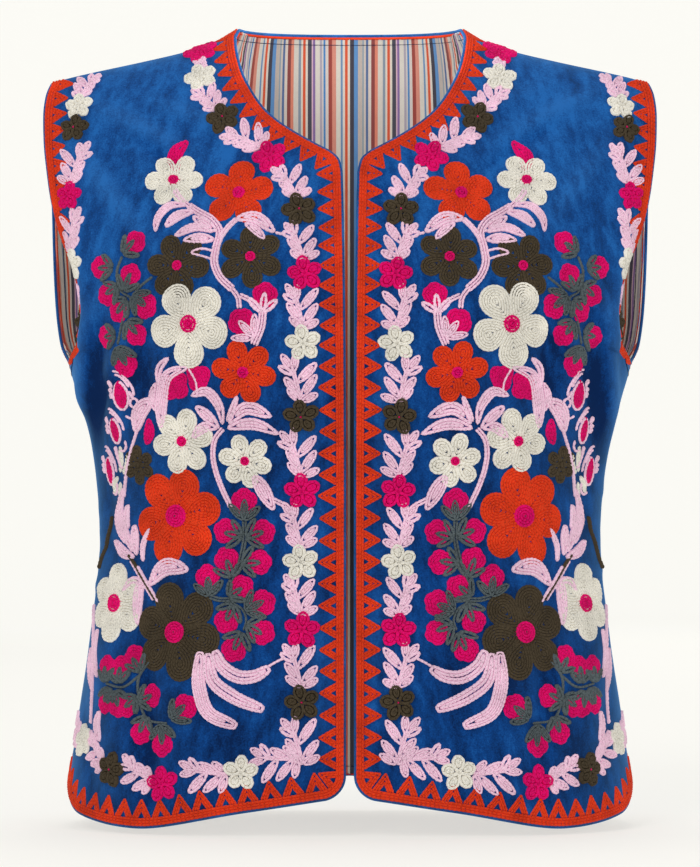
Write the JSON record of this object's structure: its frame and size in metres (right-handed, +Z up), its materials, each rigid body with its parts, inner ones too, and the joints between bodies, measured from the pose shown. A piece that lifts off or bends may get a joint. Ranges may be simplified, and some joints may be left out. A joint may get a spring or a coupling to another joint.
{
  "type": "embroidered waistcoat",
  "caption": "Collarless sleeveless velvet waistcoat, hip length, open down the front, with a striped lining; it keeps the hollow form it has when worn.",
  "frame": {"origin": "midway between the two points where the neck meets the shoulder seams, where a wearer's shoulders carry the waistcoat", "axes": "+Z up as worn; the fronts face -Y; +X towards the wearer's left"},
  "size_m": [0.442, 0.2462, 0.5719],
  "materials": {
    "velvet": "cut-pile cotton velvet, matt with a pale sheen at the edges",
    "embroidery": "six-strand cotton yarn in chain stitch, soft satin",
    "lining": "plain-woven striped cotton, matt"
  },
  "bodies": {
    "root": {"front_left": "velvet", "front_right": "velvet", "back": "velvet", "lining_front_left": "lining", "lining_front_right": "lining", "lining_back": "lining"}
  },
  "joints": []
}
